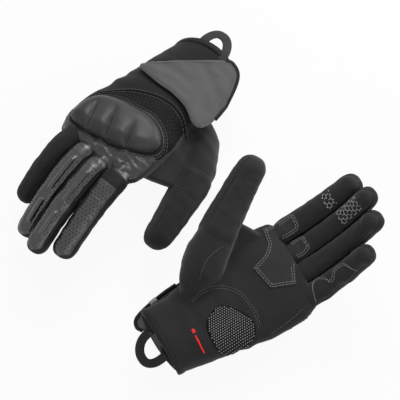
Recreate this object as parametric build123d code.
"""A pair of short-cuff motorcycle gloves, laid down side by side: right glove back up, left glove palm up.

Each glove is built as a right hand in its own frame: +Y runs from the cuff mouth to the fingers,
+Z points out of the back of the hand and the thumb is on the -X side. The left glove is the same
glove mirrored through its palm plane. Both are then turned and set down on the plane z = 0.
"""
from build123d import *
import os
from math import cos, pi, radians, sin, sqrt

os.makedirs("parts", exist_ok=True)

# ---- materials and clearances, mm ----
WALL = 1.6              # outer fabric or leather with its padding
LINER = 0.8             # inner lining
LINER_END = 128.0       # where the lining of the hand meets those of the fingers
GAP = 0.3               # running gap between pieces that move
SEAT = 0.1              # gap under a curved piece that is sewn or glued down
OVERSHOOT = 4.0         # how far a cutting body runs past what it cuts
MOUTH_START = -20.0     # where the hand's lofts begin, behind the cuff's edge
SEAM_Z = 3.0            # height of the seam between palm and back
HAND_SIDES = 20         # flat strips round the hand
DIGIT_SIDES = 12        # and round a finger
OUTLINE_SIDES = 20      # straight edges round an oval patch

# ---- hand: where along the glove, thumb-side edge, little-side edge, half thickness ----
MOUTH = (0.0, -34.0, 35.0, 22.0)
WRIST = (30.0, -35.0, 40.0, 21.0)
HEEL = (60.0, -41.0, 46.0, 20.0)
MID_PALM = (90.0, -47.0, 51.0, 19.0)
WEB = (128.0, -45.0, 52.0, 17.0)
FRONT = (142.0, -41.0, 46.0, 12.5)
HAND = (MOUTH, WRIST, HEEL, MID_PALM, WEB, FRONT)

# ---- cuff ----
CUFF_PANEL_END = 52.0   # front edge of the panel at the back of the cuff
DOME_RADIUS = 100.0     # curve of the cuff's back edge, seen from above
DOME_RISE = 6.0         # how far that edge stands out past the palm side
BINDING = 1.0           # thickness of the tape over the edge
BINDING_WIDTH = 6.0

# ---- closure flap and its hook and loop tapes ----
TAPE = 1.2
FLAP = 1.6
FLAP_HINGE_X = 34.0     # sewn edge, on the little-finger side
FLAP_HINGE_Y = (42.0, 50.0)
FLAP_END_X = -40.0
FLAP_FRONT_Y = 57.0     # front corner at the free end
FLAP_BACK_Y = -8.0
FLAP_CORNER = 9.0
TAPE_X = (-30.0, -4.0)
TAPE_Y = (10.0, 40.0)
TAPE_CORNER = 4.0

# ---- knuckle guard ----
GUARD_Y = 114.0         # centre of the guard along the glove
GUARD_X = 2.0           # its centre across
GUARD_SLOPE = 6.0       # turn of the guard's long axis, degrees
GUARD_WIDTH = 92.0
GUARD_LENGTH = 44.0
GUARD_WALL = 1.8
FLANGE = 1.6
DOME_PITCH = 21.0
DOMES = ((13.6, 17.5), (13.4, 20.0), (12.6, 19.5), (11.2, 16.5))   # radius, half length, index to little finger
DOME_SINK = 3.0         # how deep a dome's axis lies under the flange's top
DOME_LIFTS = (-75, -50, -25, 0, 25, 50, 75)     # where its rings lie, degrees from the middle
DOME_SIDES = 16
FOAM_GAP = 0.3

# ---- patches on the palm ----
PATCH = 1.4
SLIDER = 1.8
SLIDER_CENTRE = (26.0, 61.0)
SLIDER_SIZE = (44.0, 40.0)
SLIDER_TURN = 35.0

# ---- pull loop ----
WEBBING_WIDTH = 9.5
WEBBING = 1.4
LOOP_SPAN = 30.0        # across both sewn ends
LOOP_REACH = 24.0       # from the cuff to the folded tip

# ---- digits: root centre, radius, length, share of it behind the middle joint ----
FINGERS = {
    "index": ((-30.0, 158.0), 10.5, 84.0, 0.47),
    "middle": ((-8.6, 160.0), 10.4, 94.0, 0.48),
    "ring": ((12.6, 156.0), 10.3, 91.0, 0.48),
    "little": ((33.6, 147.0), 9.8, 75.0, 0.46),
}
FINGER_TAPER = 0.88     # size at the tip against the root
FINGER_WALL = 1.5
TIP_LIFTS = (0, 25, 50, 72)     # where the rings that round off a fingertip lie, degrees
SLEEVE = 30.0           # how far a finger's tube runs back into the hand
THUMB_BASE = (-15.0, 35.0, -4.0)
THUMB_METACARPAL = 82.0
THUMB_ROOT = 16.8
THUMB_TIP = 12.1
THUMB_LENGTH = 74.0
THUMB_SPLIT = 0.5
THUMB_TWIST = 35.0      # turn of the thumb about its own line, degrees
BALL_RADIUS = 19.0      # ball of the thumb, inside the palm
RIDGE_WIDTH = 6.4
RIDGE_HEIGHT = 3.0
RIDGE_BEVEL = 75.0      # slope of a welt's sides, degrees
RIDGE_SPAN = (0.10, 0.86)
LITTLE_PATCH_SPAN = (0.10, 0.90)

# ---- how each glove lies: roll, pitch and turn in degrees, and where its cuff mouth is ----
POSES = {
    "right": {
        "turn": (11.7, 12.3, 188.2),
        "place": (-97.0, 79.0),
        "splay": {"index": -1.5, "middle": -1.5, "ring": 2.7, "little": 13.0},
        "flex": {"index": (18, 40), "middle": (11, 43), "ring": (18, 52), "little": (19, 62)},
        "thumb_base": (42.3, 21.0),
        "thumb": (18.8, 5.0, 15.0),
    },
    "left": {
        "turn": (3.0, 6.0, -8.2),
        "place": (94.0, -121.0),
        "splay": {"index": 1.0, "middle": -0.2, "ring": 0.5, "little": 0.8},
        "flex": {"index": (12, 28), "middle": (14, 44), "ring": (14, 36), "little": (13, 40)},
        "thumb_base": (32.6, 16.8),
        "thumb": (33.4, 5.0, 15.0),
    },
}
PRESS = 0.4             # how far the cloth of a lying glove is pressed flat where it rests


# ---- flat-faced forms ----
def ring(plane, half_width, half_height, sides):
    """Corners of a polygon inscribed in an ellipse on a plane."""
    corners = []
    for i in range(sides):
        angle = 2 * pi * (i + 0.5) / sides
        corners.append(plane.from_local_coords(Vector(half_width * cos(angle), half_height * sin(angle), 0)))
    return corners


def skin(rings, similar=False):
    """Closed solid over a row of rings: four-cornered faces between rings of one shape, else triangles."""
    faces = [Face(Wire.make_polygon(rings[0])), Face(Wire.make_polygon(rings[-1]))]
    for lower, upper in zip(rings, rings[1:]):
        for i in range(len(lower)):
            a, b, c, d = lower[i - 1], lower[i], upper[i], upper[i - 1]
            corners = [(a, b, c, d)] if similar else [(a, b, c), (a, c, d)]
            faces += [Face(Wire.make_polygon(points)) for points in corners]
    return Part() + Solid(Shell(faces))


def oval_outline(size):
    """Polygon inscribed in an ellipse of a given length and width, as a face."""
    return make_face(Polyline(*ring(Plane.XY, size[0] / 2, size[1] / 2, OUTLINE_SIDES), close=True))


# ---- the hand's outer form ----
def hand_body(grow=0.0, first=MOUTH, last=FRONT, start=MOUTH_START):
    """The hand, or the stretch of it between two sections, made larger all round by grow."""
    rings = []
    for section in HAND[HAND.index(first):HAND.index(last) + 1]:
        y, thumb_side, little_side, half_thickness = section
        if section == MOUTH:
            y = start
        if section == FRONT:
            y = y + grow
        plane = Plane(origin=((thumb_side + little_side) / 2, y, 0), x_dir=(1, 0, 0), z_dir=(0, 1, 0))
        rings.append(ring(plane, (little_side - thumb_side) / 2 + grow, half_thickness + grow, HAND_SIDES))
    return skin(rings)


def dorsal_height(x, y):
    """Height of the back of the hand over a point."""
    for (y0, a0, b0, t0), (y1, a1, b1, t1) in zip(HAND, HAND[1:]):
        if y0 <= y <= y1:
            k = (y - y0) / (y1 - y0)
            thumb_side, little_side, thickness = a0 + (a1 - a0) * k, b0 + (b1 - b0) * k, t0 + (t1 - t0) * k
            across = (x - (thumb_side + little_side) / 2) / ((little_side - thumb_side) / 2)
            return thickness * sqrt(1 - across ** 2)
    return 0.0


def ahead_of(plane, size=200):
    """Everything on the far side of a plane."""
    return plane * Box(size, size, size / 2, align=(Align.CENTER, Align.CENTER, Align.MIN))


# ---- digits ----
class Digit:
    """A finger or thumb stall: two straight tubes that meet at the middle joint, bent towards the palm."""

    def __init__(self, root, along, palmar, flex, radii, length, split):
        self.root = Vector(*root)
        self.along = Vector(*along)
        self.palmar = Vector(*palmar)
        self.side = self.palmar.cross(self.along)
        self.flex = flex
        self.radii = radii
        self.length = length
        self.crease = length * split
        self.middle = self.root + self.direction(self.crease / 2) * self.crease
        self.end = self.middle + self.direction((self.crease + length) / 2) * (length - self.crease)

    def angle(self, s):
        """Bend from the hand's own direction at a place along the stall."""
        return radians(self.flex[0] + (self.flex[1] - self.flex[0]) * s / self.length)

    def direction(self, s):
        return self.along * cos(self.angle(s)) + self.palmar * sin(self.angle(s))

    def inward(self, s):
        """Unit vector out of the palm side of the stall."""
        return self.palmar * cos(self.angle(s)) - self.along * sin(self.angle(s))

    def radius(self, s):
        return self.radii[0] + (self.radii[1] - self.radii[0]) * s / self.length

    def centre(self, s):
        if s <= self.crease:
            return self.root + (self.middle - self.root) * (s / self.crease)
        return self.middle + (self.end - self.middle) * ((s - self.crease) / (self.length - self.crease))

    def cut(self, s, shift=0.0):
        """Plane across the stall where its two tubes, or tube and hand, meet."""
        return Plane(origin=self.centre(s) + self.direction(s) * shift, x_dir=self.side, z_dir=self.direction(s))

    def ring(self, s, s_line, radius):
        """Ring across one of the two tubes, at a place that may lie past its ends."""
        direction = self.direction(s_line)
        base = self.root if s_line < self.crease else self.middle - direction * self.crease
        plane = Plane(origin=base + direction * s, x_dir=self.side, z_dir=direction)
        return ring(plane, radius, radius, DIGIT_SIDES)

    def tube(self, start, stop, s_line, grow=0.0):
        """Full tapered stretch of one of the two tubes."""
        return skin([self.ring(s, s_line, self.radius(s) + grow) for s in (start, stop)], similar=True)

    def root_tube(self, grow=0.0):
        reach = self.radius(0) * 0.5
        return self.tube(-reach, self.crease + reach, self.crease / 2, grow)

    def root_stall(self):
        stall = self.root_tube() - self.root_tube(-FINGER_WALL)
        return stall & ahead_of(self.cut(0, GAP)) - ahead_of(self.cut(self.crease))

    def tip_stall(self):
        line = (self.crease + self.length) / 2
        reach = self.radius(self.crease) * 0.5
        shoulder = self.length - self.radius(self.length)
        rings = [self.ring(self.crease - reach, line, self.radius(self.crease - reach))]
        for lift in (radians(a) for a in TIP_LIFTS):
            radius = self.radius(shoulder)
            rings.append(self.ring(shoulder + radius * sin(lift), line, radius * cos(lift)))
        bore = self.tube(self.crease - reach - OVERSHOOT, shoulder, line, -FINGER_WALL)
        return (skin(rings, similar=True) - bore) & ahead_of(self.cut(self.crease, GAP))

    def hinge(self, s):
        """Point and axis of the crease at s: on the palm side, so that the back opens as it bends."""
        return self.centre(s) + self.inward(s) * self.radius(s), self.along.cross(self.palmar)


def make_digits(pose):
    digits = {}
    for name, ((x, y), radius, length, split) in FINGERS.items():
        turn = radians(pose["splay"][name])
        digits[name] = Digit((x, y, 0), (sin(turn), cos(turn), 0), (0, 0, -1), pose["flex"][name],
                             (radius, radius * FINGER_TAPER), length, split)
    swing, drop = (radians(a) for a in pose["thumb_base"])
    line = Vector(-sin(swing) * cos(drop), cos(swing) * cos(drop), -sin(drop))
    root = Vector(*THUMB_BASE) + line * THUMB_METACARPAL
    turn = radians(pose["thumb"][0])
    twist = radians(THUMB_TWIST)
    palmar = (cos(turn) * sin(twist), sin(turn) * sin(twist), -cos(twist))
    digits["thumb"] = Digit(tuple(root), (-sin(turn), cos(turn), 0), palmar, pose["thumb"][1:],
                            (THUMB_ROOT, THUMB_TIP), THUMB_LENGTH, THUMB_SPLIT)
    return digits


# ---- shell of the hand ----
def thumb_base(thumb, grow=0.0, past=0.0):
    """The ball of the thumb: a cone from inside the palm, cut off square where the thumb's stall begins."""
    base = Vector(*THUMB_BASE)
    line = Plane(origin=base, z_dir=(thumb.root - base).normalized())
    narrowing = (BALL_RADIUS - THUMB_ROOT) / THUMB_METACARPAL
    length = THUMB_METACARPAL + THUMB_ROOT
    rings = [ring(line.offset(s), BALL_RADIUS - narrowing * s + grow, BALL_RADIUS - narrowing * s + grow,
                  HAND_SIDES) for s in (0, length)]
    return skin(rings, similar=True) - ahead_of(thumb.cut(0, past))


def sleeve(digit, grow=0.0, past=0.0):
    """The hand's end of a finger tube."""
    radius = digit.radii[0] + grow
    plane = Plane(origin=digit.root - digit.along * SLEEVE, x_dir=digit.side, z_dir=digit.along)
    rings = [ring(plane.offset(s), radius, radius, DIGIT_SIDES) for s in (0, SLEEVE + radius)]
    return skin(rings, similar=True) - ahead_of(digit.cut(0, past))


def hand_solid(digits, grow=0.0, past=0.0):
    """Hand, ball of the thumb and the sleeves that the fingers leave from, as one body."""
    body = hand_body(grow, start=MOUTH_START - past) + thumb_base(digits["thumb"], grow, past)
    for name in FINGERS:
        body = body + sleeve(digits[name], grow, past)
    return body


def behind(edge):
    """What lies on the wearer's side of the cuff's edge, with the edge moved out by edge."""
    palm = Pos(0, 200 - edge, (SEAM_Z - 100) / 2) * Box(400, 400, 100 + SEAM_Z)
    dome = Pos(0, DOME_RADIUS - DOME_RISE, SEAM_Z) * Cylinder(
        DOME_RADIUS + edge, 100, align=(Align.CENTER, Align.CENTER, Align.MIN))
    front = Pos(0, 200 + DOME_RADIUS - DOME_RISE, SEAM_Z + 50) * Box(400, 400, 100)
    return palm + dome + front


def hand_shell(digits):
    """Palm shell, back shell and cuff panel, and the lining inside them."""
    shell = (hand_solid(digits) - hand_solid(digits, -WALL, OVERSHOOT)) & behind(0.0)
    above = Pos(0, 100, SEAM_Z) * Box(400, 500, 80, align=(Align.CENTER, Align.CENTER, Align.MIN))
    cuff_zone = Pos(0, CUFF_PANEL_END - 100, 0) * Box(400, 200, 200)
    back = shell & above
    inside = WALL + SEAT
    lining = hand_body(-inside, last=WEB) - hand_body(-inside - LINER, last=WEB, start=MOUTH_START - OVERSHOOT)
    lining_zone = Pos(0, (LINER_END + BINDING_WIDTH) / 2, 0) * Box(400, LINER_END - BINDING_WIDTH, 200)
    lining = (lining & lining_zone) - thumb_base(digits["thumb"], -WALL, OVERSHOOT)
    return {
        "palm_shell": shell - above,
        "back_shell": back - cuff_zone,
        "cuff_panel": back & cuff_zone,
        "hand_liner": lining,
    }


def cuff_binding():
    """Tape over the edge of the mouth: outside face and end."""
    band = (hand_body(BINDING, last=WRIST) & behind(BINDING)) - behind(-BINDING_WIDTH)
    band = band - (hand_body(SEAT, last=WRIST) & behind(SEAT))
    return band - hand_body(-WALL, last=WRIST, start=MOUTH_START - OVERSHOOT)


def plate(outline, low, high, first, last, dorsal=True):
    """A sheet that follows the hand, between two heights above its surface, inside an outline."""
    prism = Pos(0, 0, SEAM_Z + GAP) * extrude(outline, 60) if dorsal else extrude(outline, -60)
    return (hand_body(high, first, last) & prism) - hand_body(low, first, last)


# ---- knuckle guard ----
def dome(radius, half_length):
    """An egg-like form with its long axis along Y, of which the upper half shows."""
    rings = []
    for lift in (radians(a) for a in DOME_LIFTS):
        plane = Plane(origin=(0, half_length * sin(lift), 0), x_dir=(1, 0, 0), z_dir=(0, 1, 0))
        rings.append(ring(plane, radius * cos(lift), radius * cos(lift), DOME_SIDES))
    return skin(rings, similar=True)


def domes(shrink=0.0):
    """Four knuckle domes that run into each other, index finger to little finger."""
    body = None
    for i, (radius, half_length) in enumerate(DOMES):
        x = (i - (len(DOMES) - 1) / 2) * DOME_PITCH
        spot = Pos(GUARD_X, GUARD_Y) * Rot(0, 0, GUARD_SLOPE) * Pos(x, 0)
        height = dorsal_height(spot.position.X, spot.position.Y) + FLANGE - DOME_SINK
        placed = spot * Pos(0, 0, height) * dome(radius - shrink, half_length - shrink)
        body = placed if body is None else body + placed
    return body


def knuckle_guard():
    outline = Pos(GUARD_X, GUARD_Y) * Rot(0, 0, GUARD_SLOPE) * oval_outline((GUARD_WIDTH, GUARD_LENGTH))
    flange = plate(outline, GAP, GAP + FLANGE, MID_PALM, FRONT)
    under = hand_body(GAP, MID_PALM, FRONT)
    shell = (flange + domes()) - domes(GUARD_WALL) - under
    foam = domes(GUARD_WALL + FOAM_GAP) - under
    return {"knuckle_guard": shell.solids().sort_by(SortBy.VOLUME)[-1], "guard_foam": foam}


# ---- closure ----
def closure():
    tape = Pos(sum(TAPE_X) / 2, sum(TAPE_Y) / 2) * Rectangle(TAPE_X[1] - TAPE_X[0], TAPE_Y[1] - TAPE_Y[0])
    tape = chamfer(tape.vertices(), TAPE_CORNER)
    top = 2 * TAPE + GAP
    corners = [(FLAP_HINGE_X, FLAP_HINGE_Y[1]), (FLAP_END_X, FLAP_FRONT_Y), (FLAP_END_X, FLAP_BACK_Y + 6),
               (FLAP_END_X + 12, FLAP_BACK_Y), (FLAP_HINGE_X, FLAP_HINGE_Y[0])]
    outline = make_face(Polyline(*corners, close=True))
    outline = fillet(outline.vertices().sort_by(Axis.X)[0:2], FLAP_CORNER)
    return {
        "cuff_loop_pad": plate(tape, SEAT, TAPE, MOUTH, HEEL),
        "flap_hook_pad": plate(tape, TAPE + GAP, top - SEAT, MOUTH, HEEL),
        "closure_flap": plate(outline, top, top + FLAP, MOUTH, HEEL),
    }


def pull_loop():
    """Webbing folded to a point, its two ends sewn side by side inside the cuff's back edge."""
    start = -(DOME_RISE + BINDING + GAP)
    half = LOOP_SPAN / 2
    outer = [(-half, start), (-WEBBING_WIDTH / 2, start - LOOP_REACH), (WEBBING_WIDTH / 2, start - LOOP_REACH),
             (half, start)]
    hole_half = half - WEBBING_WIDTH
    hole = [(-hole_half, start + 1), (0, start - LOOP_REACH + WEBBING_WIDTH), (hole_half, start + 1)]
    face = make_face(Polyline(*outer, close=True)) - make_face(Polyline(*hole, close=True))
    height = MOUTH[3] - WALL - WEBBING
    return {"pull_loop": extrude(Pos(0, 0, height) * face, WEBBING)}


# ---- patches ----
def palm_patches(digits):
    outline = make_face(Polyline(
        (-36, 134), (-21, 131), (-14, 126), (-10, 112), (16, 117), (23, 138), (0, 140), (-34, 140), close=True))
    slider = Pos(*SLIDER_CENTRE) * Rot(0, 0, SLIDER_TURN) * oval_outline(SLIDER_SIZE)
    bulge = thumb_base(digits["thumb"], SEAT)
    for name in FINGERS:
        bulge = bulge + sleeve(digits[name], SEAT)
    return {
        "palm_patch": plate(outline, SEAT, PATCH, MID_PALM, FRONT, dorsal=False) - bulge,
        "heel_slider": plate(slider, SEAT, SLIDER, WRIST, MID_PALM, dorsal=False) - bulge,
    }


def ridge(digit):
    """Raised welt along the back of a stall's root section."""
    start, stop = (digit.crease * share for share in RIDGE_SPAN)
    line = digit.direction(digit.crease / 2)
    top = digit.centre(start) - digit.inward(digit.crease / 2) * digit.radius(start)
    plane = Plane(origin=top, x_dir=digit.side, z_dir=line)
    profile = Trapezoid(RIDGE_WIDTH, 2 * RIDGE_HEIGHT, RIDGE_BEVEL)
    return extrude(plane * profile, stop - start) - digit.root_tube(SEAT)


def little_patch(digit):
    """Padded patch round the outer side of the little finger's root section."""
    start, stop = (digit.crease * share for share in LITTLE_PATCH_SPAN)
    band = digit.tube(start, stop, digit.crease / 2, PATCH) - digit.root_tube(SEAT)
    middle = digit.crease / 2
    keep = digit.centre(middle) + digit.side * 20 + digit.inward(middle) * 6
    return band & Plane(origin=keep, x_dir=digit.side, z_dir=digit.direction(middle)) * Box(36, 20, 80)


# ---- one glove ----
def make_glove(side, shared):
    digits = make_digits(POSES[side])
    pieces = hand_shell(digits)
    pieces.update(shared)
    pieces.update(palm_patches(digits))
    for name, digit in digits.items():
        pieces[name + "_root"] = digit.root_stall()
        pieces[name + "_tip"] = digit.tip_stall()
    pieces["middle_ridge"] = ridge(digits["middle"])
    pieces["ring_ridge"] = ridge(digits["ring"])
    pieces["little_patch"] = little_patch(digits["little"])
    return pieces, digits


def set_down(pieces, digits, side):
    """Turn a glove to the way it lies and set its lowest point on the ground."""
    roll, pitch, turn = POSES[side]["turn"]
    way = Rot(0, 0, turn) * Rot(pitch, 0, 0) * Rot(0, roll, 0)
    flipped = side == "left"
    turned = {}
    for name, piece in pieces.items():
        turned[name] = way * (piece.mirror(Plane.XY) if flipped else piece)
    lowest = min(piece.bounding_box().min.Z for piece in turned.values())
    place = Pos(*POSES[side]["place"], -lowest - PRESS)

    def moved(point, is_axis=False):
        """A point or a hinge axis of the glove's own frame, where the glove lies."""
        if flipped:
            point = Vector(point.X, point.Y, -point.Z)
            point = point * -1 if is_axis else point
        spot = (way * Pos(point)).position
        return spot if is_axis else (place * Pos(spot)).position

    hinges = {}
    for name, digit in digits.items():
        for part_name, s in (("root", 0.0), ("tip", digit.crease)):
            point, axis = digit.hinge(s)
            hinges[name + "_" + part_name] = (moved(point), moved(axis, True))
    fold_y = sum(FLAP_HINGE_Y) / 2
    fold = Vector(FLAP_HINGE_X, fold_y, dorsal_height(FLAP_HINGE_X, fold_y) + 2 * TAPE + GAP)
    hinges["closure_flap"] = (moved(fold), moved(Vector(0, 1, 0), True))
    sewn = Vector(0, -DOME_RISE - BINDING - GAP, MOUTH[3] - WALL - WEBBING / 2)
    hinges["pull_loop"] = (moved(sewn), moved(Vector(1, 0, 0), True))
    return {name: place * piece for name, piece in turned.items()}, hinges


def make_pair():
    """Both gloves round a common origin, in the middle of the ground they cover."""
    shared = {"cuff_binding": cuff_binding(), **knuckle_guard(), **closure(), **pull_loop()}
    pair, hinges = {}, {}
    for side in POSES:
        pieces, turns = set_down(*make_glove(side, shared), side)
        pair.update({side + "_" + name: piece for name, piece in pieces.items()})
        hinges.update({side + "_" + name: hinge for name, hinge in turns.items()})
    boxes = [piece.bounding_box() for piece in pair.values()]
    middle = [(min(getattr(b.min, a) for b in boxes) + max(getattr(b.max, a) for b in boxes)) / 2 for a in "XY"]
    centring = Pos(-middle[0], -middle[1], 0)
    ground = Pos(0, 0, -50) * Box(1000, 1000, 100)
    pair = {name: centring * piece for name, piece in pair.items()}
    for name, piece in pair.items():
        if piece.bounding_box().min.Z < 0:
            pair[name] = piece - ground
    hinges = {name: ((centring * Pos(point)).position, axis) for name, (point, axis) in hinges.items()}
    return pair, hinges, middle


PAIR, HINGES, MIDDLE = make_pair()
for node, shape in PAIR.items():
    export_step(Part() + shape.solids(), "parts/" + node + ".step")
for node, (point, axis) in HINGES.items():
    print(node, [round(c, 3) for c in point], [round(c, 4) for c in axis])
print("centring", [round(c, 3) for c in MIDDLE])
